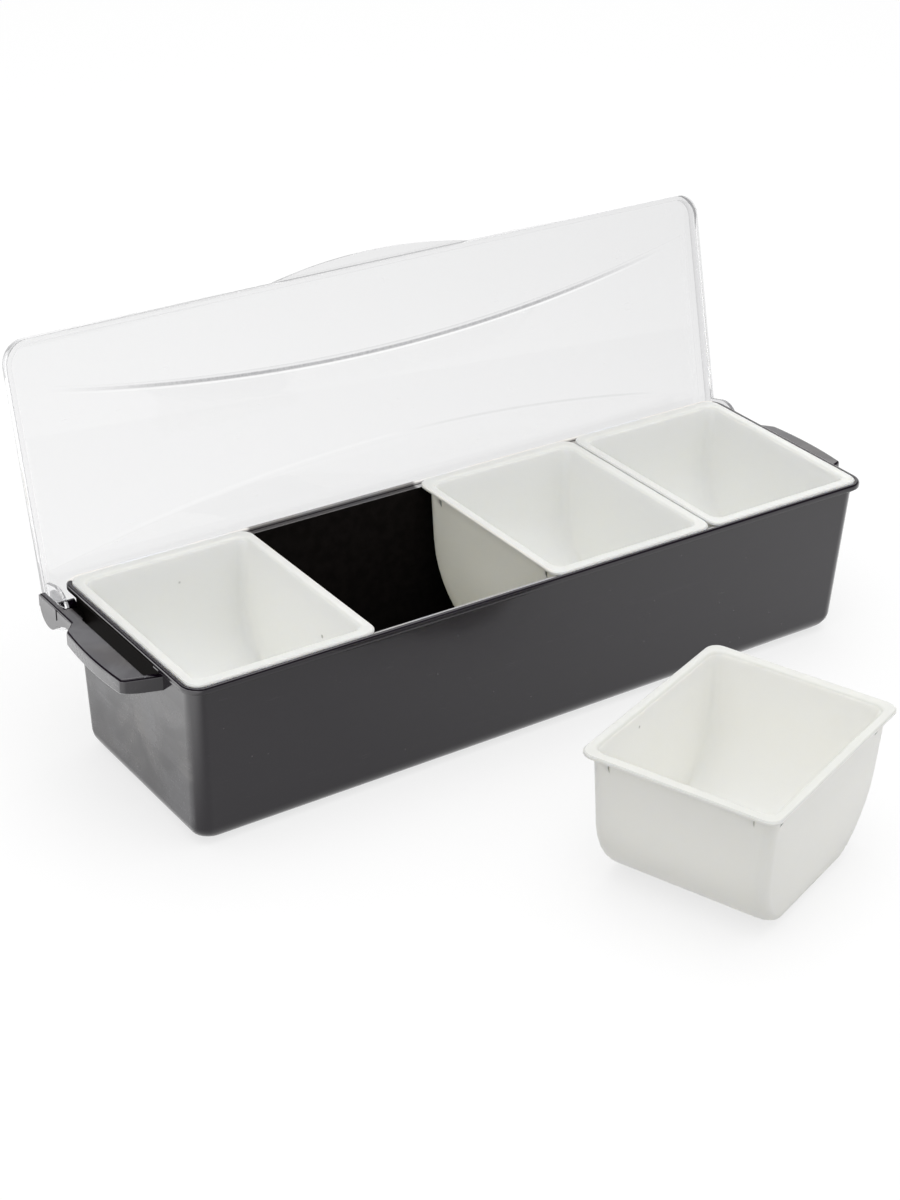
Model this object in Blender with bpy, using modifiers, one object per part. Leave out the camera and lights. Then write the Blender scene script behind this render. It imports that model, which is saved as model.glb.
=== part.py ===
"""Four-compartment condiment caddy: a tapered tub with end handles, four lift-out inserts and one
clear hinged lid. Metres, +Z up. The tub's underside centre is the origin, its length lies along X
and its front faces -Y. The lid stands open on its stop and the second insert stands out in front.
"""
import math

import bmesh
import bpy

# Inserts
INSERT_W = 0.1104
INSERT_D = 0.1357
INSERT_H = 0.0800
INSERT_RIM_T = 0.0024
INSERT_RIM_R = 0.0070
INSERT_INSET_X = 0.0040
INSERT_INSET_Y = 0.0048
INSERT_WALL = 0.0018
INSERT_DRAFT = 0.044
INSERT_CORNER_R = 0.0060
INSERT_FOOT_R = 0.0080
INSERT_SIDE_R = 0.0080
INSERT_FRONT_R = 0.0355
INSERT_BACK_R = 0.0440
EDGE_ROUND = 0.0018
RIB_T = 0.0015
RIB_DROP = 0.0058

# Tub
SLOT_COUNT = 4
RIM_GAP = 0.0016
SEAT_CLEAR = 0.0005
LEDGE_Z = 0.0983
RECESS = 0.0020
BEAD = 0.0026
LIP_X = 0.0034
LIP_Y = 0.0042
LIP_DROP = 0.0037
STEP_DROP = 0.0023
TUB_WALL = 0.0020
TUB_FLOOR = 0.0030
TUB_DRAFT = 0.042
TUB_BASE_R = 0.0109
TUB_CORNER_R = 0.0090
RECESS_CORNER_R = 0.0080

# Handles and hinge plates
HANDLE_DROP = 0.0075
HANDLE_H = 0.0088
FLANGE_T = 0.0026
SKIN_T = 0.0021
GRIP_HALF = 0.0290
GRIP_BOW = 0.0018
GRIP_STEP = 0.0066
FINGER_GAP = 0.0084
PLATE_T = 0.0030
PLATE_REAR = 0.0110
PLATE_DROP = 0.0064
LOBE_R = 0.0105
PAD_T = 0.0004
PIN_R = 0.0030

# Lid
LID_GAP_X = 0.0037
LID_GAP_Y = 0.00535
LID_WALL = 0.0026
LID_PANEL = 0.0025
LID_LIFT = 0.0009
LID_SKIRT = 0.0080
LID_REAR_SKIRT = 0.0110
LID_CORNER_R = 0.0140
LID_ROUND = 0.0018
HINGE_BACK = 0.00695
HINGE_DROP = 0.0133
EAR_R = 0.0124
EAR_RUN = 0.0014
BORE_R = 0.0033
MOUTH_W = 0.0044
TAB_HALF = 0.0660
TAB_OUT = 0.0063
CROWN_T = 0.0010
CROWN_EDGE = 0.0003
CROWN_RAMP = 0.0020
CROWN_FRONT = 0.0295
CROWN_REAR = 0.0235
CROWN_FLARE = 0.0240
OPEN_DEG = 104.34

# Where the second insert stands
LOOSE_AT = (0.0070, -0.2178)
LOOSE_DEG = -69.0

PITCH = INSERT_W + RIM_GAP
SEAT_X = (SLOT_COUNT - 1) * PITCH / 2 + INSERT_W / 2
SEAT_Y = INSERT_D / 2
RIM_X = SEAT_X + SEAT_CLEAR + BEAD
RIM_Y = SEAT_Y + SEAT_CLEAR + BEAD
RIM_Z = LEDGE_Z + RECESS
TOP_Z = LEDGE_Z + 0.0003 + INSERT_RIM_T
STEP_Z = RIM_Z - LIP_DROP - STEP_DROP
LID_X = RIM_X + LID_GAP_X + LID_WALL
LID_Y = RIM_Y + LID_GAP_Y + LID_WALL
LID_UNDER = TOP_Z + LID_LIFT
LID_TOP = LID_UNDER + LID_PANEL
HINGE = (0.0, RIM_Y - HINGE_BACK, RIM_Z - HINGE_DROP)
HANDLE_TOP = RIM_Z - HANDLE_DROP

for old in list(bpy.data.objects):
    bpy.data.objects.remove(old, do_unlink=True)
scene = bpy.context.scene
parts = bpy.data.collections.new("condiment_caddy")
scene.collection.children.link(parts)
cutters = bpy.data.collections.new("cutters")
scene.collection.children.link(cutters)


def material(name, colour, rough, alpha=1.0):
    m = bpy.data.materials.new(name)
    m.use_nodes = True
    b = m.node_tree.nodes["Principled BSDF"]
    b.inputs["Base Color"].default_value = (*colour, 1)
    b.inputs["Roughness"].default_value = rough
    b.inputs["Alpha"].default_value = alpha
    m.diffuse_color = (*colour, alpha)
    return m


BLACK = material("housing", (0.012, 0.012, 0.013), 0.22)
CLEAR = material("lid", (0.90, 0.91, 0.91), 0.06, 0.3)
WHITE = material("insert", (0.78, 0.77, 0.74), 0.35)


def place(name, mesh, home, mat=None):
    ob = bpy.data.objects.new(name, mesh)
    home.objects.link(ob)
    if mat:
        mesh.materials.clear()
        mesh.materials.append(mat)
    if home is not parts:
        ob.hide_render = True
        ob.display_type = "WIRE"
    return ob


def group(name):
    c = bpy.data.collections.new(name)
    cutters.children.link(c)
    return c


def closed(name, bm):
    """The finished mesh of a closed solid, its faces outward."""
    bmesh.ops.recalc_face_normals(bm, faces=bm.faces)
    if bm.calc_volume(signed=True) < 0:
        bmesh.ops.reverse_faces(bm, faces=bm.faces)
    mesh = bpy.data.meshes.new(name)
    bm.to_mesh(mesh)
    bm.free()
    return mesh


def ring(half_x, y0, y1, z, radius, seg):
    """One rounded-rectangle section, anticlockwise from above."""
    r = max(0.0002, min(radius, half_x * 0.98, (y1 - y0) * 0.49))
    out = []
    for sx, cy, start in ((1, y1 - r, 0), (-1, y1 - r, 90), (-1, y0 + r, 180), (1, y0 + r, 270)):
        for k in range(seg + 1):
            t = math.radians(start + 90 * k / seg)
            out.append((sx * (half_x - r) + r * math.cos(t), cy + r * math.sin(t), z))
    return out


def loft(name, rings, home, mat=None, shift=(0, 0, 0)):
    """Joins unlike sections in order and caps the first and the last."""
    bm = bmesh.new()
    rows = [[bm.verts.new([c - s for c, s in zip(p, shift)]) for p in r] for r in rings]
    for lo, hi in zip(rows, rows[1:]):
        for i in range(len(lo)):
            j = (i + 1) % len(lo)
            bm.faces.new((lo[i], lo[j], hi[j], hi[i]))
    bm.faces.new(rows[0][::-1])
    bm.faces.new(rows[-1])
    return place(name, closed(name, bm), home, mat)


def sheet(name, outline, thick, home, shift=(0, 0, 0)):
    """A flat outline given a thickness centred on it."""
    mesh = bpy.data.meshes.new(name)
    mesh.from_pydata([[c - s for c, s in zip(p, shift)] for p in outline], [], [range(len(outline))])
    ob = place(name, mesh, home)
    thicken = ob.modifiers.new("thick", "SOLIDIFY")
    thicken.thickness = thick
    thicken.offset = 0
    return ob


def block(name, low, high, home, shift=(0, 0, 0)):
    bm = bmesh.new()
    bmesh.ops.create_cube(bm, size=1.0)
    for v in bm.verts:
        v.co = [(a + b) / 2 + c * (b - a) - s for a, b, c, s in zip(low, high, v.co, shift)]
    return place(name, closed(name, bm), home)


def rod(name, at, radius, x0, x1, home, shift=(0, 0, 0), sides=32):
    bm = bmesh.new()
    bmesh.ops.create_cone(bm, segments=sides, radius1=radius, radius2=radius, depth=abs(x1 - x0),
                          cap_ends=True)
    for v in bm.verts:
        x, y, z = v.co
        v.co = [c - s for c, s in zip(((x0 + x1) / 2 + z, at[1] + x, at[2] + y), shift)]
    return place(name, closed(name, bm), home)


def combine(ob, operands, operation):
    m = ob.modifiers.new(operation.lower(), "BOOLEAN")
    m.operation = operation
    m.solver = "EXACT"
    m.operand_type = "COLLECTION"
    m.collection = operands


def arc(cy, cz, radius, a0, a1, steps):
    return [(cy + radius * math.cos(math.radians(a0 + (a1 - a0) * k / steps)),
             cz + radius * math.sin(math.radians(a0 + (a1 - a0) * k / steps))) for k in range(steps + 1)]


def fall(radius, height):
    """How far a floor fillet has drawn in at a height above its floor."""
    if height >= radius:
        return 0.0
    return radius - math.sqrt(max(0.0, radius ** 2 - (radius - height) ** 2))


# Insert: a scoop-bottomed pan, short fillet in front and a long sweep behind
def pan_section(z, off):
    dep = INSERT_H - INSERT_RIM_T - z
    up = z - off
    lean = INSERT_DRAFT * dep + off
    half_x = INSERT_W / 2 - INSERT_INSET_X - lean - fall(INSERT_SIDE_R - off, up)
    y0 = -INSERT_D / 2 + INSERT_INSET_Y + lean + fall(INSERT_FRONT_R - off, up)
    y1 = INSERT_D / 2 - INSERT_INSET_Y - lean - fall(INSERT_BACK_R - off, up)
    corner = INSERT_CORNER_R + (INSERT_FOOT_R - INSERT_CORNER_R) * dep / (INSERT_H - INSERT_RIM_T)
    return ring(half_x, y0, y1, z, corner - off / 2, 5)


def rim_section(inset_x, inset_y, z, radius):
    half_y = INSERT_D / 2 - inset_y
    return ring(INSERT_W / 2 - inset_x, -half_y, half_y, z, radius, 5)


rib_x = INSERT_INSET_X - (LIP_X + TUB_WALL - BEAD - SEAT_CLEAR) - 0.0004
rib_y = INSERT_INSET_Y - (LIP_Y + TUB_WALL - BEAD - SEAT_CLEAR) - 0.0004
under = INSERT_H - INSERT_RIM_T
levels = [f * under for f in (0.0, 0.009, 0.034, 0.071, 0.122, 0.187, 0.264, 0.354, 0.448, 0.573, 0.708)]
inner = [INSERT_WALL + f * (under - INSERT_WALL) for f in
         (0.0, 0.009, 0.034, 0.071, 0.122, 0.187, 0.264, 0.354, 0.448, 0.573, 0.708)]
wall_x, wall_y = INSERT_INSET_X + INSERT_WALL, INSERT_INSET_Y + INSERT_WALL
rings = [pan_section(z, 0.0) for z in levels + [under]]
rings += [rim_section(0.0004, 0.0004, under, INSERT_RIM_R), rim_section(0, 0, under + 0.0005, INSERT_RIM_R),
          rim_section(0, 0, INSERT_H - 0.0007, INSERT_RIM_R),
          rim_section(0.0007, 0.0007, INSERT_H, INSERT_RIM_R)]
for turn in (0, 30, 60, 90):
    back = EDGE_ROUND * (1 - math.sin(math.radians(turn)))
    drop = EDGE_ROUND * (1 - math.cos(math.radians(turn)))
    rings.append(rim_section(wall_x - back, wall_y - back, INSERT_H - drop, INSERT_CORNER_R))
rings += [pan_section(z, INSERT_WALL) for z in reversed(inner)]
pan = loft("pan", rings, cutters)
ribs = group("ribs")
for s in (-1, 1):
    for along in (-0.366, 0.366):
        x = along * INSERT_W
        face = INSERT_D / 2 - INSERT_INSET_Y
        sheet("rib", [(x, s * (face - 0.0009), under + 0.0006), (x, s * (face + rib_y), under + 0.0006),
                      (x, s * (face + rib_y), under - 0.0006), (x, s * (face - 0.0009), under - RIB_DROP)],
              RIB_T, ribs)
    for along in (-0.398, 0.361):
        y = along * INSERT_D
        face = INSERT_W / 2 - INSERT_INSET_X
        sheet("rib", [(s * (face - 0.0009), y, under + 0.0006), (s * (face + rib_x), y, under + 0.0006),
                      (s * (face + rib_x), y, under - 0.0006), (s * (face - 0.0009), y, under - RIB_DROP)],
              RIB_T, ribs)
combine(pan, ribs, "UNION")
bpy.context.view_layer.update()
moulded = bpy.data.meshes.new_from_object(pan.evaluated_get(bpy.context.evaluated_depsgraph_get()))
moulded.name = "insert"
for n in range(SLOT_COUNT):
    cup = place("insert_%d" % (n + 1), moulded, parts, WHITE)
    cup.location = ((n - (SLOT_COUNT - 1) / 2) * PITCH, 0, TOP_Z - INSERT_H)
    if n == 1:
        cup.location = (*LOOSE_AT, 0)
        cup.rotation_euler = (0, 0, math.radians(LOOSE_DEG))


# Tub
def tub_section(z, off, radius):
    lean = TUB_DRAFT * (STEP_Z - z) + off
    half_y = RIM_Y - LIP_Y - lean
    return ring(RIM_X - LIP_X - lean, -half_y, half_y, z, radius, 6)


def lip_section(inset_x, inset_y, z, radius):
    return ring(RIM_X - inset_x, -(RIM_Y - inset_y), RIM_Y - inset_y, z, radius, 6)


rings = []
for turn in (0, 18, 36, 54, 72, 90):
    z = TUB_BASE_R * (1 - math.cos(math.radians(turn)))
    draw = TUB_BASE_R * (1 - math.sin(math.radians(turn)))
    rings.append(tub_section(z, draw, TUB_CORNER_R))
rim_r = RECESS_CORNER_R + BEAD
rings += [tub_section(STEP_Z, 0, TUB_CORNER_R),
          lip_section(LIP_X * 0.62, LIP_Y * 0.62, STEP_Z + 0.0004, rim_r),
          lip_section(LIP_X * 0.62, LIP_Y * 0.62, STEP_Z + STEP_DROP, rim_r),
          lip_section(0.0005, 0.0005, STEP_Z + STEP_DROP, rim_r),
          lip_section(0, 0, STEP_Z + STEP_DROP + 0.0006, rim_r),
          lip_section(0, 0, RIM_Z - 0.0011, rim_r),
          lip_section(0.0004, 0.0004, RIM_Z - 0.0003, rim_r),
          lip_section(0.0011, 0.0011, RIM_Z, rim_r - 0.0011),
          lip_section(BEAD - 0.0005, BEAD - 0.0005, RIM_Z, RECESS_CORNER_R),
          lip_section(BEAD, BEAD, RIM_Z - 0.0005, RECESS_CORNER_R),
          lip_section(BEAD, BEAD, LEDGE_Z, RECESS_CORNER_R)]
inner_r = TUB_CORNER_R - TUB_WALL
rings += [lip_section(LIP_X + TUB_WALL, LIP_Y + TUB_WALL, LEDGE_Z, inner_r)]
base_r = TUB_BASE_R - TUB_WALL
for turn in (90, 68, 45, 22, 0):
    z = TUB_FLOOR + base_r * (1 - math.cos(math.radians(turn)))
    draw = base_r * (1 - math.sin(math.radians(turn)))
    rings.append(tub_section(z, TUB_WALL + draw, inner_r))
tub = loft("housing", rings, parts, BLACK)

# Handles: a level flange with a skirt under its outer edge, running back into the hinge plate
fittings = group("fittings")
plate_out = LID_X + EAR_RUN + PLATE_T
plate_in = LID_X + EAR_RUN
grip_x = plate_out + GRIP_STEP
wall_x = RIM_X - LIP_X - TUB_DRAFT * (STEP_Z - HANDLE_TOP + HANDLE_H / 2)
root_x = wall_x - TUB_WALL / 2
slot_x = wall_x + FINGER_GAP
arm_x = LID_X - LID_WALL
arm_end = HINGE[1] - EAR_R - 0.0008
flange_z = HANDLE_TOP - FLANGE_T / 2
skin_z = HANDLE_TOP - HANDLE_H / 2
bow = [(grip_x + GRIP_BOW * (1 - (k / 4.0) ** 2), GRIP_HALF * k / 4) for k in range(-4, 5)]
bow_in = [(x - SKIN_T, y * 0.97) for x, y in bow]
nose = (wall_x, -GRIP_HALF - 0.0075)
tail = (plate_out, GRIP_HALF + 0.0080)
for s in (-1, 1):
    def flip(pts, z):
        return [(s * x, y, z) for x, y in pts]

    round_front = [(grip_x - 0.0030, -GRIP_HALF - 0.0021), (grip_x - 0.0008, -GRIP_HALF - 0.0010)]
    round_rear = [(grip_x - 0.0009, GRIP_HALF + 0.0016), (grip_x - 0.0026, GRIP_HALF + 0.0036)]
    flange = round_front + bow + round_rear + [
        tail, (plate_out, arm_end), (arm_x, arm_end), (arm_x, GRIP_HALF + 0.0085),
        (slot_x, GRIP_HALF + 0.0070), (slot_x, -GRIP_HALF - 0.0028)]
    sheet("flange", flip(flange, flange_z), FLANGE_T, fittings)
    skin = [nose] + round_front + bow + round_rear + [tail, (tail[0] - PLATE_T * 0.9, tail[1])]
    skin += [(x - SKIN_T, y - SKIN_T * 0.8) for x, y in round_rear[::-1]]
    skin += bow_in[::-1]
    skin += [(x - SKIN_T * 0.8, y + SKIN_T) for x, y in round_front[::-1]]
    skin += [(root_x, nose[1] + SKIN_T), (root_x, nose[1])]
    sheet("skin", flip(skin, skin_z), HANDLE_H, fittings)
    lobe = arc(HINGE[1], HINGE[2], LOBE_R, -8, -150, 12)
    ahead = HANDLE_TOP - PLATE_DROP
    side = [(HINGE[1] + PLATE_REAR, HANDLE_TOP - 0.0012), (HINGE[1] + PLATE_REAR, HINGE[2] - 0.0012)] + lobe
    side += [(HINGE[1] - 0.0128, ahead - 0.0030), (HINGE[1] - 0.0200, ahead - 0.0002),
             (GRIP_HALF + 0.0060, ahead - 0.0006), (GRIP_HALF + 0.0060, HANDLE_TOP),
             (HINGE[1] + PLATE_REAR - 0.0012, HANDLE_TOP)]
    mid = s * (plate_in + PLATE_T / 2)
    sheet("plate", [(mid, y, z) for y, z in side], PLATE_T, fittings)
    block("pad", (min(s * (plate_out - 0.001), s * (plate_out + PAD_T)), HINGE[1] - 0.0096,
                  HINGE[2] - 0.0014),
          (max(s * (plate_out - 0.001), s * (plate_out + PAD_T)), HINGE[1] + PLATE_REAR - 0.0006,
           HANDLE_TOP - 0.0007), fittings)
    rod("pin", HINGE, PIN_R, s * root_x, s * (plate_in + PLATE_T * 0.6), fittings)
combine(tub, fittings, "UNION")

# Lid, drawn closed about its hinge line and then swung open
rings = []
for inset, z in ((LID_WALL + LID_ROUND, LID_UNDER), (LID_WALL + LID_ROUND * 0.3, LID_UNDER - LID_ROUND * 0.3),
                 (LID_WALL, LID_UNDER - LID_ROUND), (LID_WALL, LID_TOP - LID_SKIRT), (0, LID_TOP - LID_SKIRT),
                 (0, LID_TOP - LID_ROUND), (LID_ROUND * 0.3, LID_TOP - LID_ROUND * 0.3), (LID_ROUND, LID_TOP)):
    rings.append(ring(LID_X - inset, -(LID_Y - inset), LID_Y - inset, z, LID_CORNER_R - inset * 0.9, 7))
lid = loft("lid", rings, parts, CLEAR, HINGE)
additions = group("additions")
bores = group("bores")
tab_r = (TAB_HALF ** 2 + TAB_OUT ** 2) / (2 * TAB_OUT)
swing = math.degrees(math.asin(TAB_HALF / tab_r))
tab = [(-tab_r * math.sin(math.radians(t)), -LID_Y - TAB_OUT + tab_r * (1 - math.cos(math.radians(t))),
        LID_TOP - 0.0013) for t in [swing * (k / 12.0 - 1) for k in range(25)]]
tab += [(-TAB_HALF, -LID_Y + 0.0030, LID_TOP - 0.0013), (TAB_HALF, -LID_Y + 0.0030, LID_TOP - 0.0013)]
sheet("tab", tab, 0.0022, additions, HINGE)
crown_x = LID_X - 0.0061
rings = []
for k in range(-14, 15):
    t = k / 14.0
    bow = 1 - t * t
    front = -CROWN_FRONT - CROWN_FLARE * t * t
    rear = CROWN_REAR + CROWN_FLARE * t * t
    ramp = CROWN_RAMP * (0.25 + 0.75 * bow)
    top = LID_TOP + CROWN_EDGE * (1 - bow) / 2 + CROWN_T * bow
    rings.append([(crown_x * t, front - ramp / 2, LID_TOP - 0.0009), (crown_x * t, front - ramp / 2, LID_TOP + 0.0001),
                  (crown_x * t, front + ramp / 2, top), (crown_x * t, rear - ramp, top),
                  (crown_x * t, rear + ramp, LID_TOP + 0.0001), (crown_x * t, rear + ramp, LID_TOP - 0.0009)])
loft("crown", rings, additions, None, HINGE)
block("rear_skirt", (-LID_X + LID_CORNER_R, LID_Y - LID_WALL, LID_TOP - LID_REAR_SKIRT),
      (LID_X - LID_CORNER_R, LID_Y - 0.0002, LID_TOP - LID_SKIRT + 0.002), additions, HINGE)
for s in (-1, 1):
    ear = arc(HINGE[1], HINGE[2], EAR_R, 0, -180, 18)
    top = LID_TOP - LID_SKIRT + 0.0020
    ear += [(HINGE[1] - EAR_R, top), (HINGE[1] + EAR_R, top)]
    mid = s * (LID_X - LID_WALL / 2 - 0.0001)
    sheet("ear", [(mid, y, z) for y, z in ear], LID_WALL - 0.0004, additions, HINGE)
    rod("bore", HINGE, BORE_R, s * (LID_X - 0.006), s * (LID_X + 0.003), bores, HINGE)
    block("mouth", (min(s * (LID_X - 0.006), s * (LID_X + 0.003)), HINGE[1] - MOUTH_W / 2,
                    HINGE[2] - EAR_R - 0.003),
          (max(s * (LID_X - 0.006), s * (LID_X + 0.003)), HINGE[1] + MOUTH_W / 2, HINGE[2] - BORE_R * 0.5),
          bores, HINGE)
combine(lid, additions, "UNION")
combine(lid, bores, "DIFFERENCE")
for ob in [lid] + list(additions.objects) + list(bores.objects):
    ob.location = HINGE
    ob.rotation_euler = (math.radians(-OPEN_DEG), 0, 0)

for ob in parts.objects:
    for face in ob.data.polygons:
        face.use_smooth = False
for child in cutters.children:
    child.hide_render = True
cutters.hide_render = True
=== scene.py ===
"""Looks for the condiment caddy: glossy black tub, clear hinged lid and four white drop-in inserts."""
import math

import bmesh
import bpy
from mathutils import Matrix, Vector


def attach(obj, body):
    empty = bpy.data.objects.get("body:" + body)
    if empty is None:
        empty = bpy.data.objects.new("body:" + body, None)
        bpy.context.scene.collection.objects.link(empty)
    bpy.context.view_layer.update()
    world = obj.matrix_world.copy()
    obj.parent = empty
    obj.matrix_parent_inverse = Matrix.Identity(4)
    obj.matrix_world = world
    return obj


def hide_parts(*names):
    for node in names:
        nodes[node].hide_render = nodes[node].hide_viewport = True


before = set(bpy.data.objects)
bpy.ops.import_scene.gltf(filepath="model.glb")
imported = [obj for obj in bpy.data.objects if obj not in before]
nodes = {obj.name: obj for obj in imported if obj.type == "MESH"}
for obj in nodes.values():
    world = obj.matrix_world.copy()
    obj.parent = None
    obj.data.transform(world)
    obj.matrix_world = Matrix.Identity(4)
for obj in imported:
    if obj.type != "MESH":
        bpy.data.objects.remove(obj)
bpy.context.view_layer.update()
scene = bpy.context.scene
scene.view_settings.view_transform = "Standard"

# Lid: its hinge line and how far it stands open, and when it is laid flat about that line, how far it
# reaches sideways, where the two curved edges of its raised middle are and how far they bow
HINGE = Vector((0, 0.0640, 0.0870))
OPEN = math.radians(104.34)
LID_REACH = 0.2265
SMILE_Y = -0.0272
FROWN_Y = 0.0228
BOW = 0.024
# Tub, by distance from its middle: the end walls, the handle tops that take a painted sheen, the gap behind a grip, the
# grip and its underside
END_X = (0.214, 0.2245)
TOP_X = (0.2285, 0.2300)
GAP_X, GAP_Z = (0.2340, 0.2345), (0.0815, 0.0825)
GRIP_X = (0.2340, 0.2350)
UNDER_GRIP_X = (0.2345, 0.2350)
# Handles: their underside and top, and where the edges that are eased begin, outwards and along
GRIP_Z = (0.0840, 0.0928)
EASE_TOP_X, EASE_CORNER_X, EASE_UNDER_X = 0.2365, 0.2395, 0.2400
EASE_NOSE_Y, EASE_CORNER_Y, EASE_REAR_Y = -0.0280, 0.0285, 0.0320
# Slots behind the handles: how far down and forward the painted shade reaches on the end walls, whose outsides lie
# between these
SLOT_Z = 0.0760
SLOT_NOSE = (0, -0.0335, 0.0845)
SLOT_SLANT = 2.2
OUTER_WALL_X = (0.215, 0.2300)
# Inside of the tub: how far out, back and up it goes, and a height that its floor is below
INSIDE = (0.2240, 0.0670, 0.0978)
FLOOR_BELOW = 0.05
# Ledge that the rims rest on, the bead behind it, and the middle and half width of the empty bay
LEDGE_Z = (0.0975, 0.0979, 0.0986, 0.0989)
BEAD_Y = (0.0655, 0.0665)
BEAD_Z = (0.0984, 0.0990)
BAY_X = -0.056
BAY_HALF = (0.054, 0.057)
# Inserts: rim height of the one that stands in front, which the others hang above, and where it begins
RIM_Z = (0.0755, 0.0775)
IN_FRONT_Y = (-0.110, -0.120)
# Warmer side of the insert beside the empty bay
WARM_SIDE_X = (-0.003, -0.001, 0.030, 0.034)
WARM_SIDE_Y = (-0.110, -0.090)
# Ribs under the rims, by distance below the rim: the vertices that move and how far, and the sides that take painted
# shade
RIB_BAND = (0.0028, 0.0095)
RIB_DROP = 0.0032
RIB_TOE = 0.0045
RIB_INSET = 0.00025
RIB_SHADE = (0.0024, 0.0130)
RIB_FACE = 1.2e-5
# Webs under the hinge pins: place on the right end, and size
WEB_PLACE = (0.2253, 0.0550, 0.0838)
WEB_SIZE = (0.0070, 0.0100, 0.0060)

# Camera: fitted to the tub, the rims, the lid and both handles, in pixels of a 900 x 1200 picture
PHOTO = (900, 1200)
FOCAL, CENTRE = 2410.64, (466.742, 599.145)
EYE = Vector((-0.7069, -0.9754, 0.7138))
TURN, DROP, ROLL = (math.radians(a) for a in (35.5607, 28.6976, 1.6375))
ahead = Vector((math.sin(TURN) * math.cos(DROP), math.cos(TURN) * math.cos(DROP), -math.sin(DROP)))
level = Vector((math.cos(TURN), -math.sin(TURN), 0))
rise = level.cross(ahead)
across = level * math.cos(ROLL) + rise * math.sin(ROLL)
upward = rise * math.cos(ROLL) - level * math.sin(ROLL)
lens = bpy.data.cameras.new("camera")
lens.sensor_fit = "AUTO"
lens.sensor_width = 36.0
lens.lens = FOCAL * 36.0 / PHOTO[1]
lens.shift_x = (PHOTO[0] / 2 - CENTRE[0]) / PHOTO[1]
lens.shift_y = (CENTRE[1] - PHOTO[1] / 2) / PHOTO[1]
lens.clip_start, lens.clip_end = 0.02, 50
camera = bpy.data.objects.new("camera", lens)
scene.collection.objects.link(camera)
camera.matrix_world = Matrix([(across[k], upward[k], -ahead[k], EYE[k]) for k in range(3)] + [(0, 0, 0, 1)])
scene.camera = camera


# Small helpers for node work
def add(tree, kind, at, **values):
    n = tree.nodes.new(kind)
    n.location = at
    for key, value in values.items():
        setattr(n, key, value)
    return n


def wire(tree, source, target):
    tree.links.new(source, target)


def feed(tree, socket, value):
    """Sets a socket to a number or a colour, or wires another socket to it."""
    if isinstance(value, (int, float)):
        socket.default_value = value
    elif isinstance(value, tuple):
        socket.default_value = (*value, 1)
    else:
        wire(tree, value, socket)


def new_material(name):
    m = bpy.data.materials.new(name)
    m.use_nodes = True
    m.node_tree.nodes.clear()
    return m, m.node_tree


def noise(tree, at, vector, scale, detail=2.0, rough=0.5, warp=0.0):
    n = add(tree, "ShaderNodeTexNoise", at)
    for key, value in (("Scale", scale), ("Detail", detail), ("Roughness", rough), ("Distortion", warp)):
        n.inputs[key].default_value = value
    wire(tree, vector, n.inputs["Vector"])
    return n.outputs[0]


def stretch(tree, at, vector, turn, size):
    n = add(tree, "ShaderNodeMapping", at)
    n.inputs["Rotation"].default_value = [math.radians(a) for a in turn]
    n.inputs["Scale"].default_value = size
    wire(tree, vector, n.inputs["Vector"])
    return n.outputs[0]


def span(tree, at, value, low, high, out_low=0.0, out_high=1.0, smooth=True):
    """Value taken from low..high to out_low..out_high, and held beyond them."""
    n = add(tree, "ShaderNodeMapRange", at)
    if smooth:
        n.interpolation_type = "SMOOTHSTEP"
    for key, number in (("From Min", low), ("From Max", high), ("To Min", out_low), ("To Max", out_high)):
        n.inputs[key].default_value = number
    wire(tree, value, n.inputs["Value"])
    return n.outputs[0]


def maths(tree, at, kind, a, b=None, clamp=False):
    n = add(tree, "ShaderNodeMath", at, operation=kind, use_clamp=clamp)
    feed(tree, n.inputs[0], a)
    if b is not None:
        feed(tree, n.inputs[1], b)
    return n.outputs[0]


def times(tree, at, first, *others):
    for k, other in enumerate(others):
        first = maths(tree, (at[0] + 140 * k, at[1]), "MULTIPLY", first, other)
    return first


def plus(tree, at, first, *others):
    for k, other in enumerate(others):
        first = maths(tree, (at[0] + 140 * k, at[1]), "ADD", first, other)
    return first


def blend_colour(tree, at, factor, a, b):
    n = add(tree, "ShaderNodeMix", at, data_type="RGBA", blend_type="MIX")
    for socket, value in ((n.inputs["Factor"], factor), (n.inputs[6], a), (n.inputs[7], b)):
        feed(tree, socket, value)
    return n.outputs[2]


def parts_of(tree, at, vector):
    """X, Y and Z of a vector."""
    n = add(tree, "ShaderNodeSeparateXYZ", at)
    wire(tree, vector, n.inputs[0])
    return n.outputs[0], n.outputs[1], n.outputs[2]


def mix_shaders(tree, at, factor, first, second):
    n = add(tree, "ShaderNodeMixShader", at)
    for socket, source in zip(n.inputs, (factor, first, second)):
        wire(tree, source, socket)
    return n.outputs[0]


# World: white to the camera and through the lid, a soft light from above on everything, and in reflections
# a white sweep at eye level, brighter on the left, under a dark ceiling with two softboxes
LIGHT_LEVEL, LIGHT_ABOVE = 0.39, 1.18
world = bpy.data.worlds.new("studio")
scene.world = world
world.use_nodes = True
wt = world.node_tree
wt.nodes.clear()
path = add(wt, "ShaderNodeLightPath", (-900, 200))
sky = add(wt, "ShaderNodeTexCoord", (-1500, -300)).outputs["Generated"]
sideways, _, height = parts_of(wt, (-1300, -200), sky)


def softbox_glow(at, aim, edge, strength):
    """A softbox that lies towards aim, as reflections see it."""
    toward = add(wt, "ShaderNodeVectorMath", at, operation="DOT_PRODUCT")
    toward.inputs[1].default_value = Vector(aim).normalized()
    wire(wt, sky, toward.inputs[0])
    return span(wt, (at[0] + 200, at[1]), toward.outputs["Value"], *edge, 0.0, strength)


def white_light(at, strength):
    n = add(wt, "ShaderNodeBackground", at)
    n.inputs["Color"].default_value = (1, 1, 1, 1)
    feed(wt, n.inputs["Strength"], strength)
    return n.outputs[0]


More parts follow.
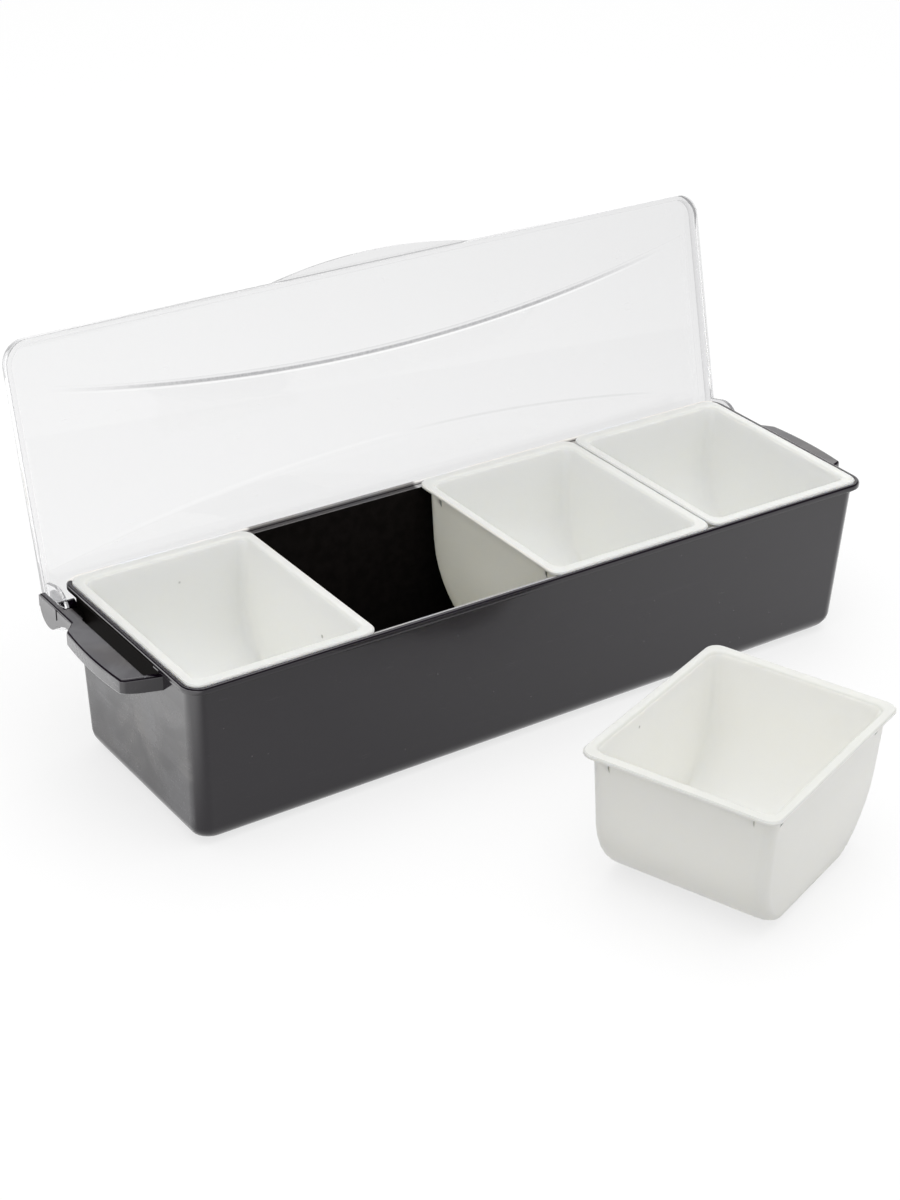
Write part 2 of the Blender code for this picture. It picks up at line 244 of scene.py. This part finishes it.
sweep = span(wt, (-1100, -200), height, 0.16, 0.36, 1.0, 0.05)
left_sweep = times(wt, (-900, -1000), span(wt, (-1100, -950), height, 0.32, 0.20),
                   span(wt, (-1100, -1200), sideways, -0.35, -0.55, 0.0, 5.0))
mirrored_light = softbox_glow((-1300, -450), (0.42, 0.73, 0.54), (0.88, 0.94), 1.35)
top_light = softbox_glow((-1300, -700), (0.30, 0.50, 0.81), (0.940, 0.965), 2.8)
for k, other in enumerate((sweep, top_light, left_sweep)):
    mirrored_light = maths(wt, (-900 + 120 * k, -300), "MAXIMUM", mirrored_light, other)
from_above = span(wt, (-700, 0), height, 0.0, 0.9, LIGHT_LEVEL, LIGHT_ABOVE, smooth=False)
unseen = mix_shaders(wt, (-250, 0), path.outputs["Is Glossy Ray"], white_light((-500, 0), from_above),
                     white_light((-500, -200), mirrored_light))
seen = maths(wt, (-500, 300), "ADD", path.outputs["Is Camera Ray"], path.outputs["Is Transmission Ray"], True)
end = add(wt, "ShaderNodeOutputWorld", (200, 0))
wire(wt, mix_shaders(wt, (0, 0), seen, unseen, white_light((-500, -400), 1.0)), end.inputs["Surface"])

# Overhead softbox, aimed at the middle of the floor
lamp = bpy.data.lights.new("overhead_softbox", "AREA")
lamp.shape = "RECTANGLE"
lamp.size, lamp.size_y = 1.6, 1.2
lamp.energy = 8.0
softbox = bpy.data.objects.new("overhead_softbox", lamp)
scene.collection.objects.link(softbox)
softbox.location = (0.1, -0.1, 1.6)
softbox.rotation_euler = (-softbox.location).to_track_quat("-Z", "Y").to_euler()

# Floor: pale, white where the backdrop meets it, keeping a faint shadow. In reflections it is
# brighter off to the left and towards the right, where the two big softboxes light the table.
FLOOR_GLOW = 0.73
floor_material, ft = new_material("floor")
ray = add(ft, "ShaderNodeLightPath", (-1200, 200))
shown = maths(ft, (-900, 200), "ADD", ray.outputs["Is Camera Ray"], ray.outputs["Is Glossy Ray"], True)
shown = maths(ft, (-700, 200), "ADD", shown, ray.outputs["Is Transmission Ray"], True)
table = add(ft, "ShaderNodeTexCoord", (-1400, -200)).outputs["Object"]
table_x = parts_of(ft, (-1200, -200), table)[0]
left_glow = span(ft, (-1000, -100), table_x, -0.21, -0.35, 0.0, 1.75)
right_glow = span(ft, (-1000, -400), table_x, -0.10, 0.28, 0.0, 0.42, smooth=False)
mirrored = maths(ft, (-800, -400), "SUBTRACT", ray.outputs["Is Glossy Ray"], ray.outputs["Is Transmission Ray"], True)
in_gloss = times(ft, (-600, -200), plus(ft, (-800, -200), left_glow, right_glow), mirrored)
glow = add(ft, "ShaderNodeEmission", (-200, -200))
wire(ft, plus(ft, (-400, -200), in_gloss, FLOOR_GLOW), glow.inputs["Strength"])
matt = add(ft, "ShaderNodeBsdfDiffuse", (-200, 200))
matt.inputs["Color"].default_value = (0.40, 0.40, 0.40, 1)
shadowed = add(ft, "ShaderNodeBsdfDiffuse", (-200, 0))
shadowed.inputs["Color"].default_value = (0.25, 0.25, 0.25, 1)
glowing = add(ft, "ShaderNodeAddShader", (0, -100))
wire(ft, shadowed.outputs[0], glowing.inputs[0])
wire(ft, glow.outputs[0], glowing.inputs[1])
end = add(ft, "ShaderNodeOutputMaterial", (400, 100))
wire(ft, mix_shaders(ft, (200, 100), shown, matt.outputs[0], glowing.outputs[0]), end.inputs["Surface"])
bpy.ops.mesh.primitive_plane_add(size=12, location=(0, 0, -0.0002))
floor = bpy.context.object
floor.name = "floor"
floor.data.materials.append(floor_material)

# Effects that several materials share
NUMBER, VECTOR = "NodeSocketFloat", "NodeSocketVector"


def new_group(name, inputs, outputs):
    g = bpy.data.node_groups.new(name, "ShaderNodeTree")
    for label, kind, value in inputs:
        s = g.interface.new_socket(label, in_out="INPUT", socket_type=kind)
        if value is not None:
            s.default_value = value
    for label in outputs:
        g.interface.new_socket(label, in_out="OUTPUT", socket_type=NUMBER)
    return g, add(g, "NodeGroupInput", (-1200, 0)), add(g, "NodeGroupOutput", (900, 0))


def placed(tree, group, at, vector, **values):
    n = add(tree, "ShaderNodeGroup", at, node_tree=group)
    for key, value in values.items():
        n.inputs[key].default_value = value
    wire(tree, vector, n.inputs["Vector"])
    return n


# Handling marks: soft smeared patches, long fine rubs and a few short scratches
marks, mi, mo = new_group("handling_marks", [("Vector", VECTOR, None), ("Size", NUMBER, 1.0)],
                          ["Smear", "Rub", "Scratch"])
scaled = add(marks, "ShaderNodeVectorMath", (-1000, 0), operation="SCALE")
wire(marks, mi.outputs["Vector"], scaled.inputs[0])
wire(marks, mi.outputs["Size"], scaled.inputs["Scale"])
at_size = scaled.outputs[0]
patches = noise(marks, (-600, 300), at_size, 24.0, 3.0, 0.56, 0.7)
drawn = stretch(marks, (-800, 100), at_size, (-35, 0, 0), (18.0, 7.0, 62.0))
drags = noise(marks, (-600, 100), drawn, 1.0, 4.0, 0.65, 0.3)
smear = plus(marks, (-300, 200), span(marks, (-450, 300), patches, 0.36, 0.64, 0.0, 0.66),
             span(marks, (-450, 100), drags, 0.42, 0.64, 0.0, 0.34))
wire(marks, smear, mo.inputs["Smear"])
fine = stretch(marks, (-800, -100), at_size, (12, 33, -35), (9.0, 900.0, 700.0))
rubs = noise(marks, (-600, -100), fine, 1.0, 2.0, 0.5, 0.3)
wire(marks, span(marks, (-300, -100), rubs, 0.55, 0.80), mo.inputs["Rub"])
short = stretch(marks, (-800, -350), at_size, (25, -38, 52), (70.0, 2400.0, 1900.0))
ticks = noise(marks, (-600, -350), short, 1.0, 0.0, 0.5, 0.0)
where = noise(marks, (-600, -500), at_size, 60.0, 2.0, 0.6, 0.0)
scratch = times(marks, (-200, -400), span(marks, (-400, -350), ticks, 0.74, 0.80),
                span(marks, (-400, -500), where, 0.52, 0.66))
wire(marks, scratch, mo.inputs["Scratch"])

# Specks: scattered dust and moulding flecks
specks, si, so = new_group("fine_specks", [("Vector", VECTOR, None), ("Scale", NUMBER, 300.0), ("Share", NUMBER, 0.05)],
                           ["Speck"])
cells = add(specks, "ShaderNodeTexVoronoi", (-700, 0))
wire(specks, si.outputs["Vector"], cells.inputs["Vector"])
wire(specks, si.outputs["Scale"], cells.inputs["Scale"])
dot = span(specks, (-400, 100), cells.outputs["Distance"], 0.10, 0.22, 1.0, 0.0)
drawn_lot = add(specks, "ShaderNodeSeparateColor", (-500, -200))
wire(specks, cells.outputs["Color"], drawn_lot.inputs[0])
kept = maths(specks, (-300, -200), "LESS_THAN", drawn_lot.outputs[0], si.outputs["Share"])
wire(specks, times(specks, (-100, 0), dot, kept), so.inputs["Speck"])

# Edge rub: where an edge is rounded over, from the angle between the true and the eased normal
edges, ei, eo = new_group("edge_rub", [("Radius", NUMBER, 0.0006), ("Vector", VECTOR, None)], ["Edge"])
eased = add(edges, "ShaderNodeBevel", (-700, 0), samples=4)
wire(edges, ei.outputs["Radius"], eased.inputs["Radius"])
true_normal = add(edges, "ShaderNodeNewGeometry", (-700, -200))
between = add(edges, "ShaderNodeVectorMath", (-450, -50), operation="DOT_PRODUCT")
wire(edges, eased.outputs[0], between.inputs[0])
wire(edges, true_normal.outputs["Normal"], between.inputs[1])
uneven = noise(edges, (-450, -300), ei.outputs["Vector"], 180.0, 3.0, 0.6)
worn = times(edges, (0, -100), span(edges, (-250, -50), between.outputs["Value"], 0.995, 0.80),
             span(edges, (-250, -300), uneven, 0.42, 0.66))
wire(edges, worn, eo.inputs["Edge"])


# Materials
def principled(tree):
    """The shader, wired to the output, with the place on the object and the way the surface faces."""
    shader = add(tree, "ShaderNodeBsdfPrincipled", (900, 0))
    wire(tree, shader.outputs[0], add(tree, "ShaderNodeOutputMaterial", (1200, 0)).inputs["Surface"])
    place = add(tree, "ShaderNodeTexCoord", (-1400, 0))
    return shader, place.outputs["Object"], place.outputs["Normal"]


def bump(tree, at, height, strength, distance, normal=None):
    n = add(tree, "ShaderNodeBump", at)
    n.inputs["Strength"].default_value = strength
    n.inputs["Distance"].default_value = distance
    wire(tree, height, n.inputs["Height"])
    if normal:
        wire(tree, normal, n.inputs["Normal"])
    return n.outputs[0]


# Black gloss plastic: deep black, with smears from palms on the ends and grips that also carry a painted sheen, and
# fine rubs on the long sides
black, bt = new_material("gloss_black_plastic")
b, here, facing = principled(bt)
wear = placed(bt, marks, (-1100, 200), here, Size=1.0)
x, y, z = parts_of(bt, (-1100, -100), here)
facing_x, _, facing_z = parts_of(bt, (-1100, -300), facing)
from_middle = maths(bt, (-900, -100), "ABSOLUTE", x)
outward = span(bt, (-900, -200), maths(bt, (-1000, -200), "ABSOLUTE", facing_x), 0.82, 0.97)
up = span(bt, (-900, -300), facing_z, 0.95, 0.99)
# Painted sheen: the outward end walls, but not the gap behind a grip, and the grip tops are lifted grey, patterned by
# the smears
ends = times(bt, (-700, -100), span(bt, (-850, -100), from_middle, *END_X), outward)
tops = times(bt, (-700, -300), up, span(bt, (-900, -450), from_middle, *TOP_X))
gap = times(bt, (-700, -150), span(bt, (-900, -150), from_middle, GAP_X[1], GAP_X[0]),
            span(bt, (-900, -250), z, *GAP_Z))
open_wall = times(bt, (-550, -50), ends, maths(bt, (-600, -80), "SUBTRACT", 1.0, gap))
palm_smear_and_sheen = times(bt, (-500, 100), wear.outputs["Smear"], open_wall)
less_on_grips = span(bt, (-550, 250), from_middle, *GRIP_X, 0.19, 0.12)
grip_top_smear_and_sheen = times(bt, (-500, 0), tops, span(bt, (-650, 0), wear.outputs["Smear"], 0.15, 0.85, 0.062, 0.098))
film_sheen_and_highlight = plus(bt, (-300, 100), times(bt, (-400, 200), palm_smear_and_sheen, less_on_grips), grip_top_smear_and_sheen,
            times(bt, (-300, 0), open_wall, 0.006))
# A painted highlight, pale where the rims rest and where the lid closes: a painted reflection on the ledge and the rear
# bead
ledge = times(bt, (-700, -1200), up, span(bt, (-900, -1200), z, LEDGE_Z[3], LEDGE_Z[2]),
              span(bt, (-900, -1350), z, LEDGE_Z[0], LEDGE_Z[1]))
front_ledge_highlight = times(bt, (-400, -1200), ledge, span(bt, (-700, -1350), y, -0.050, 0.050, 0.42, 0.08, smooth=False))
# Behind the empty bay the painted highlight is weaker
off_bay = maths(bt, (-900, -1950), "ABSOLUTE", plus(bt, (-1000, -1950), x, -BAY_X))
highlit_off_bay = span(bt, (-750, -1950), off_bay, *BAY_HALF)
rear_ledge_highlight = times(bt, (-550, -1950), ledge, span(bt, (-750, -2100), y, 0.050, 0.060, 0.0, 0.45), highlit_off_bay)
bead = times(bt, (-700, -1500), span(bt, (-900, -1500), y, *BEAD_Y), span(bt, (-900, -1650), facing_z, -0.10, 0.35),
             span(bt, (-900, -1800), z, *BEAD_Z))
bead_highlight = times(bt, (-400, -1500), bead, plus(bt, (-500, -1700), times(bt, (-600, -1700), highlit_off_bay, 0.60), 0.25))
film_sheen_and_highlight = plus(bt, (-100, 50), film_sheen_and_highlight, plus(bt, (-300, -1300), front_ledge_highlight, rear_ledge_highlight, bead_highlight))
rub = times(bt, (-300, 300), wear.outputs["Rub"], 0.006)
tick = times(bt, (-300, 400), wear.outputs["Scratch"], 0.018)
rim_rub = placed(bt, edges, (-900, -600), here, Radius=0.0007)
# Painted highlight: a white line along the lower outside edge of each grip, added to a slight paling of worn eased
# edges
under_edge_glint = times(bt, (-700, -650), span(bt, (-900, -650), facing_z, -0.15, -0.45),
                   span(bt, (-900, -750), facing_z, -0.97, -0.85),
                   span(bt, (-750, -750), from_middle, *UNDER_GRIP_X))
edge_wear_and_glint = plus(bt, (-500, -600), times(bt, (-600, -600), rim_rub.outputs["Edge"], 0.025),
                  times(bt, (-600, -650), under_edge_glint, 0.50))
dust = placed(bt, specks, (-900, -800), here, Scale=420.0, Share=0.012)
grey = plus(bt, (0, 300), plus(bt, (-100, 300), film_sheen_and_highlight, rub), plus(bt, (-100, 100), tick, edge_wear_and_glint))
grey = maths(bt, (150, 300), "ADD", grey, times(bt, (-500, -800), dust.outputs["Speck"], 0.10), True)
cast = noise(bt, (-100, 600), here, 22.0, 3.0, 0.6)
tint = blend_colour(bt, (150, 600), span(bt, (50, 600), cast, 0.40, 0.60), (1.0, 0.965, 0.92), (0.955, 0.968, 1.0))
wire(bt, blend_colour(bt, (350, 300), grey, (0.0066, 0.0034, 0.0086), tint), b.inputs["Base Color"])
ripple = noise(bt, (-600, -1000), here, 48.0, 2.0, 0.5)
rough = plus(bt, (350, 0), times(bt, (200, 0), palm_smear_and_sheen, 0.22), span(bt, (150, -150), ripple, 0.3, 0.7, 0.10, 0.16),
             times(bt, (350, -100), wear.outputs["Rub"], 0.10))
wire(bt, rough, b.inputs["Roughness"])
scratched = bump(bt, (400, -500), wear.outputs["Scratch"], 0.12, 0.00003)
wire(bt, bump(bt, (600, -400), ripple, 0.12, 0.0006, scratched), b.inputs["Normal"])
b.inputs["IOR"].default_value = 1.50

# Inside the tub and behind the grips the same plastic is a shaded copy, painted shade: rougher, and with an IOR of
# 1.03, far below real plastic, it mirrors almost nothing
shaded, st = new_material("shaded_black_plastic")
b, here, _ = principled(st)
mottle = noise(st, (-900, 0), here, 160.0, 3.0, 0.6)
wire(st, blend_colour(st, (200, 0), span(st, (-300, 0), mottle, 0.3, 0.7),
                      (0.0075, 0.0066, 0.0062), (0.0115, 0.0098, 0.0092)), b.inputs["Base Color"])
wire(st, span(st, (-300, -200), mottle, 0.3, 0.7, 0.30, 0.40), b.inputs["Roughness"])
b.inputs["IOR"].default_value = 1.03

# White plastic: satin, a touch green-yellow, with faint flow bands, a fine moulded grain and a few dark flecks
white_plastic, wpt = new_material("satin_white_plastic")
b, here, facing = principled(wpt)
wear = placed(wpt, marks, (-1100, 200), here, Size=0.8)
x, y, z = parts_of(wpt, (-400, 500), here)
facing_x, _, facing_z = parts_of(wpt, (-400, 700), facing)
banded = stretch(wpt, (-1100, -100), here, (0, 0, 0), (9.0, 9.0, 22.0))
flow = noise(wpt, (-900, -100), banded, 1.0, 3.0, 0.55, 0.8)
tone = blend_colour(wpt, (-300, 200), span(wpt, (-600, -100), flow, 0.3, 0.7),
                    (0.962, 0.964, 0.915), (0.974, 0.975, 0.932))
tone = blend_colour(wpt, (-100, 200), times(wpt, (-300, 0), wear.outputs["Smear"], 0.14), tone, (0.87, 0.865, 0.81))
# The insert that stands in front is painted a little darker and warmer all over: a painted shade
front_insert_shade = span(wpt, (-200, 350), y, *IN_FRONT_Y, 0.0, 0.55)
tone = blend_colour(wpt, (0, 250), front_insert_shade, tone, (0.895, 0.887, 0.835))
fleck = placed(wpt, specks, (-900, -400), here, Scale=150.0, Share=0.005)
tone = blend_colour(wpt, (150, 200), times(wpt, (0, -100), fleck.outputs["Speck"], 0.7), tone, (0.20, 0.19, 0.16))
# Painted shade: the rims' tops are greyer, most of all on the insert in front
rim_top_shade = times(wpt, (0, 600), span(wpt, (-200, 500), z, *RIM_Z), span(wpt, (-200, 700), facing_z, 0.15, 0.70))
rim_shade_share = plus(wpt, (0, 750), times(wpt, (-100, 750), front_insert_shade, 0.33), 0.67)
tone = blend_colour(wpt, (250, 300), times(wpt, (150, 600), rim_top_shade, rim_shade_share), tone, (0.62, 0.625, 0.60))
# The side that shows beside the empty bay is warmer in colour
warm_side = times(wpt, (250, 800), span(wpt, (50, 900), x, WARM_SIDE_X[3], WARM_SIDE_X[2]),
              span(wpt, (50, 1050), x, WARM_SIDE_X[0], WARM_SIDE_X[1]),
              span(wpt, (250, 950), facing_x, -0.4, -0.7), span(wpt, (400, 950), y, *WARM_SIDE_Y))
wire(wpt, blend_colour(wpt, (700, 500), warm_side, tone, (0.968, 0.924, 0.822)), b.inputs["Base Color"])
rough = plus(wpt, (300, -100), span(wpt, (0, -300), flow, 0.25, 0.75, 0.30, 0.38),
             times(wpt, (100, -450), wear.outputs["Rub"], 0.10))
wire(wpt, rough, b.inputs["Roughness"])
grain = noise(wpt, (-900, -650), here, 1400.0, 2.0, 0.6)
banding = bump(wpt, (400, -550), flow, 0.10, 0.0004)
wire(wpt, bump(wpt, (600, -400), grain, 0.08, 0.00008, banding), b.inputs["Normal"])
b.inputs["IOR"].default_value = 1.47
b.inputs["Subsurface Weight"].default_value = 0.80
b.inputs["Subsurface Radius"].default_value = (1.0, 0.97, 0.88)
b.inputs["Subsurface Scale"].default_value = 0.0055

# The same plastic darkened, a painted shade along the sides of the small ribs under the rims
rib_shade_plastic, gt = new_material("rib_shade_white_plastic")
b, here, _ = principled(gt)
rib_shade_noise = noise(gt, (-900, 0), here, 900.0, 2.0, 0.6)
wire(gt, blend_colour(gt, (200, 0), span(gt, (-300, 0), rib_shade_noise, 0.3, 0.7), (0.42, 0.42, 0.38), (0.56, 0.56, 0.51)),
     b.inputs["Base Color"])
b.inputs["Roughness"].default_value = 0.45
b.inputs["IOR"].default_value = 1.47

# Clear lid: nearly neutral, greyer towards its front edge, with the light lost along rounded edges and skirts
clear, ct = new_material("clear_plastic")
b, here, facing = principled(ct)
laid = add(ct, "ShaderNodeMapping", (-1200, 0), vector_type="POINT")
laid.inputs["Rotation"].default_value = (OPEN, 0, 0)
laid.inputs["Location"].default_value = HINGE - Matrix.Rotation(OPEN, 3, "X") @ HINGE
wire(ct, here, laid.inputs["Vector"])
x, y, _ = parts_of(ct, (-1000, 0), laid.outputs[0])
laid_facing = add(ct, "ShaderNodeMapping", (-1200, -300), vector_type="NORMAL")
laid_facing.inputs["Rotation"].default_value = (OPEN, 0, 0)
wire(ct, facing, laid_facing.inputs["Vector"])
flat = maths(ct, (-800, -300), "ABSOLUTE", parts_of(ct, (-1000, -300), laid_facing.outputs[0])[2])
x_share = maths(ct, (-800, 150), "DIVIDE", x, LID_REACH)
off_middle = maths(ct, (-800, 300), "ABSOLUTE", x_share)
sag = times(ct, (-650, 150), x_share, x_share, BOW)
depth = plus(ct, (-200, 0), times(ct, (-350, -100), y, 0.30), 0.845, times(ct, (-350, 0), x, -0.17))
depth = blend_colour(ct, (0, 0), depth, (0, 0, 0), (1.0, 1.0, 1.004))


def thin_line(at, along, centre, core, soft):
    """Mask of a thin line where a coordinate passes a value."""
    off = maths(ct, at, "ABSOLUTE", maths(ct, (at[0] - 150, at[1]), "SUBTRACT", along, centre))
    return span(ct, (at[0] + 150, at[1]), off, soft, core)


# Painted shade and painted highlight: a hatched dark line and a pale line along the curved edges of the raised middle,
# in place of the light bent at those moulded steps
smile_at = plus(ct, (-350, 300), y, sag)
frown_at = maths(ct, (-350, 450), "SUBTRACT", y, sag)
hatching = stretch(ct, (-500, 600), laid.outputs[0], (0, 0, 35), (2600, 500, 500))
hatched = span(ct, (-200, 600), noise(ct, (-350, 600), hatching, 1.0, 1.0, 0.5), 0.35, 0.60, 0.55, 1.0)
mid_part = span(ct, (-650, 300), off_middle, 0.95, 0.45)
smile_shade_line = times(ct, (150, 300), thin_line((0, 300), smile_at, SMILE_Y - 0.0007, 0.0006, 0.0012), mid_part, hatched)
smile_highlight_line = times(ct, (150, 450), thin_line((0, 450), smile_at, SMILE_Y + 0.0010, 0.0003, 0.0007), mid_part)
frown = times(ct, (100, 900), thin_line((0, 600), frown_at, FROWN_Y, 0.0003, 0.0010),
              span(ct, (-650, 900), off_middle, 0.88, 0.70))
rightward = span(ct, (0, 750), x, -0.02, 0.06)
frown_highlight_line = times(ct, (150, 600), frown, maths(ct, (150, 700), "SUBTRACT", 1.0, rightward))
frown_shade_line = times(ct, (150, 750), frown, rightward, hatched)
paler_right = span(ct, (-200, -600), x, 0.10, 0.21, 1.0, 0.40)
skirt = times(ct, (50, -200), span(ct, (-600, -300), flat, 0.98, 0.30), paler_right)
rounding = times(ct, (-200, -350), span(ct, (-400, -300), flat, 0.985, 0.80), span(ct, (-400, -450), flat, 0.12, 0.45),
                 paler_right)
for k, (mask, share, tone) in enumerate((
        (frown_highlight_line, 0.22, (0.97, 0.97, 0.97)), (frown_shade_line, 0.22, (0.45, 0.45, 0.45)),
        (smile_highlight_line, 1.0, (0.97, 0.97, 0.97)), (smile_shade_line, 0.95, (0.36, 0.36, 0.37)),
        (skirt, 0.75, (0.62, 0.62, 0.63)), (rounding, 0.80, (0.38, 0.38, 0.39)))):
    depth = blend_colour(ct, (300 + 60 * k, 0), times(ct, (250 + 60 * k, 100), mask, share), depth, tone)
wire(ct, depth, b.inputs["Base Color"])
wear = placed(ct, marks, (-1000, -700), here, Size=1.3)
rough = plus(ct, (300, -600), times(ct, (100, -600), wear.outputs["Smear"], 0.03), 0.015,
             times(ct, (300, -750), wear.outputs["Scratch"], 0.25))
wire(ct, rough, b.inputs["Roughness"])
wave = noise(ct, (-600, -900), here, 14.0, 1.0, 0.4)
scratched = bump(ct, (450, -900), wear.outputs["Scratch"], 0.15, 0.00003)
wire(ct, bump(ct, (600, -800), wave, 0.03, 0.001, scratched), b.inputs["Normal"])
b.inputs["Transmission Weight"].default_value = 1.0
b.inputs["IOR"].default_value = 1.49
# A painted glow: the plastic gives off a faint grey for rays past their third bounce, in place of the light held in the
# thick rounded corners that would otherwise be lost
GLOW_AFTER_BOUNCES = 3.5
bounces = add(ct, "ShaderNodeLightPath", (300, 500)).outputs["Ray Depth"]
painted_glow = maths(ct, (500, 500), "GREATER_THAN", bounces, GLOW_AFTER_BOUNCES)
wire(ct, blend_colour(ct, (650, 500), painted_glow, (0, 0, 0), (0.13, 0.13, 0.133)), b.inputs["Emission Color"])
b.inputs["Emission Strength"].default_value = 1.0


# Pieces
def on_end_wall(face):
    """True for the outside of an end wall."""
    x = face.calc_center_median().x
    return OUTER_WALL_X[0] < abs(x) < OUTER_WALL_X[1] and abs(face.normal.x) > 0.9 and x * face.normal.x > 0


def shade_recesses(piece, mat):
    """Gives the inside of the tub and its end walls behind the grips the shaded copy of the plastic, a painted shade.
    """
    bm = bmesh.new()
    bm.from_mesh(piece.data)
    for way, through in (((0, 0, 1), (0, 0, SLOT_Z)), ((0, 1, 0), SLOT_NOSE), ((0, 1, SLOT_SLANT), SLOT_NOSE)):
        walls = [f for f in bm.faces if on_end_wall(f)]
        cut = walls + list({e for f in walls for e in f.edges}) + list({v for f in walls for v in f.verts})
        bmesh.ops.bisect_plane(bm, geom=cut, plane_co=through, plane_no=way)
    piece.data.materials.append(mat)
    for f in bm.faces:
        c = f.calc_center_median()
        rear_of_nose = c.y - SLOT_NOSE[1] > max(0, SLOT_SLANT * (SLOT_NOSE[2] - c.z))
        behind_grip = on_end_wall(f) and c.z > SLOT_Z and rear_of_nose
        inward = c.x * f.normal.x + c.y * f.normal.y < 0 or (f.normal.z > 0.5 and c.z < FLOOR_BELOW)
        if behind_grip or (inward and all(abs(c[k]) < INSIDE[k] for k in range(3))):
            f.material_index = 1
    bm.to_mesh(piece.data)
    bm.free()


def on_grip_outline(e):
    """True for the upper and lower outside edges of a handle."""
    flats = [f for f in e.link_faces if abs(f.normal.z) > 0.99]
    sides = [f for f in e.link_faces if abs(f.normal.z) < 0.05]
    if not flats or not sides:
        return False
    mid = (e.verts[0].co + e.verts[1].co) / 2
    out, n = abs(mid.x), sides[0].normal
    at_corner = n.y * mid.y > 0 and abs(mid.y) > EASE_CORNER_Y and out > EASE_CORNER_X
    outward = n.x * math.copysign(1, mid.x) > 0.2 or at_corner
    on_nose = mid.y < EASE_NOSE_Y and n.y < -0.5
    at_underside, at_top = (abs(mid.z - z) < 0.0002 for z in GRIP_Z)
    upper = at_top and ((out > EASE_TOP_X and outward) or on_nose)
    lower = at_underside and out > EASE_UNDER_X and outward and mid.y < EASE_REAR_Y
    return upper or lower


def finish_ribs(mesh, rib_shade_material):
    """Bring the small ribs under an insert's rim a little further down, with painted shade on their sides."""
    top = max(v.co.z for v in mesh.vertices)
    wall = max((f for f in mesh.polygons if abs(f.normal.z) < 0.06), key=lambda f: f.area).normal
    along = Vector((wall.x, wall.y, 0)).normalized()
    athwart = Vector((-along.y, along.x, 0))
    reach = [[v.co.dot(way) for v in mesh.vertices] for way in (along, athwart)]
    middle = [(max(r) + min(r)) / 2 for r in reach]
    half = [(max(r) - min(r)) / 2 for r in reach]
    centre = along * middle[0] + athwart * middle[1]
    for v in mesh.vertices:
        below = top - v.co.z
        if RIB_BAND[0] < below < RIB_BAND[1]:
            if below > RIB_TOE:
                v.co += ((centre - v.co) * Vector((1, 1, 0))).normalized() * RIB_INSET
            v.co.z -= RIB_DROP
    mesh.update()
    mesh.materials.append(rib_shade_material)
    for f in mesh.polygons:
        u, v = [abs(f.center.dot(way) - m) / h for way, m, h in zip((along, athwart), middle, half)]
        faces_side = abs(f.normal.dot(athwart if u > v else along)) > 0.9
        if RIB_SHADE[0] < top - f.center.z < RIB_SHADE[1] and f.area < RIB_FACE and faces_side:
            f.material_index = 1


def smooth_copy(node, name, body, mat, angle=35, ease=0.0, recess_shade=None, rib_shade_material=None):
    """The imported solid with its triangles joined, its edges eased and its curves shaded round."""
    piece = nodes[node].copy()
    piece.data = nodes[node].data.copy()
    piece.name = piece.data.name = name
    piece.parent = None
    for key in list(piece.keys()):
        if key.startswith("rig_"):
            del piece[key]
    scene.collection.objects.link(piece)
    bpy.ops.object.select_all(action="DESELECT")
    piece.select_set(True)
    bpy.context.view_layer.objects.active = piece
    if piece.data.has_custom_normals:
        bpy.ops.mesh.customdata_custom_splitnormals_clear()
    bpy.ops.object.mode_set(mode="EDIT")
    bpy.ops.mesh.select_all(action="SELECT")
    bpy.ops.mesh.remove_doubles(threshold=0.00001)
    bpy.ops.mesh.normals_make_consistent(inside=False)
    if ease:
        bpy.ops.mesh.dissolve_limited(angle_limit=math.radians(0.5))
        bpy.ops.mesh.select_all(action="DESELECT")
        bpy.ops.mesh.select_mode(type="EDGE")
        bm = bmesh.from_edit_mesh(piece.data)
        for e in bm.edges:
            e.select_set(len(e.link_faces) == 2 and on_grip_outline(e))
        bmesh.update_edit_mesh(piece.data)
        bpy.ops.mesh.bevel(offset=ease, segments=4, affect="EDGES", clamp_overlap=False)
    bpy.ops.object.mode_set(mode="OBJECT")
    bpy.ops.object.shade_smooth_by_angle(angle=math.radians(angle))
    piece.data.materials.clear()
    piece.data.materials.append(mat)
    if rib_shade_material:
        finish_ribs(piece.data, rib_shade_material)
    if recess_shade:
        shade_recesses(piece, recess_shade)
        even = piece.modifiers.new("even_normals", "WEIGHTED_NORMAL")
        even.keep_sharp = True
        bpy.ops.object.modifier_apply(modifier=even.name)
    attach(piece, body)
    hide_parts(node)


smooth_copy("housing", "tub", "housing", black, angle=50, ease=0.0016, recess_shade=shaded)
smooth_copy("lid", "clear_lid", "lid", clear)
for side, end_name in ((-1, "left"), (1, "right")):
    # A web under each hinge pin, between the ear and the end wall, in the shaded copy of the plastic, a painted shade
    bpy.ops.mesh.primitive_cube_add(size=1, location=(side * WEB_PLACE[0], *WEB_PLACE[1:]))
    web = bpy.context.object
    web.name = "pin_web_" + end_name
    web.scale = WEB_SIZE
    bpy.ops.object.transform_apply(location=True, rotation=True, scale=True)
    web.data.materials.append(shaded)
    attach(web, "housing")
for n in (1, 2, 3, 4):
    smooth_copy("insert_%d" % n, "pan_%d" % n, "insert_%d" % n, white_plastic, rib_shade_material=rib_shade_plastic)
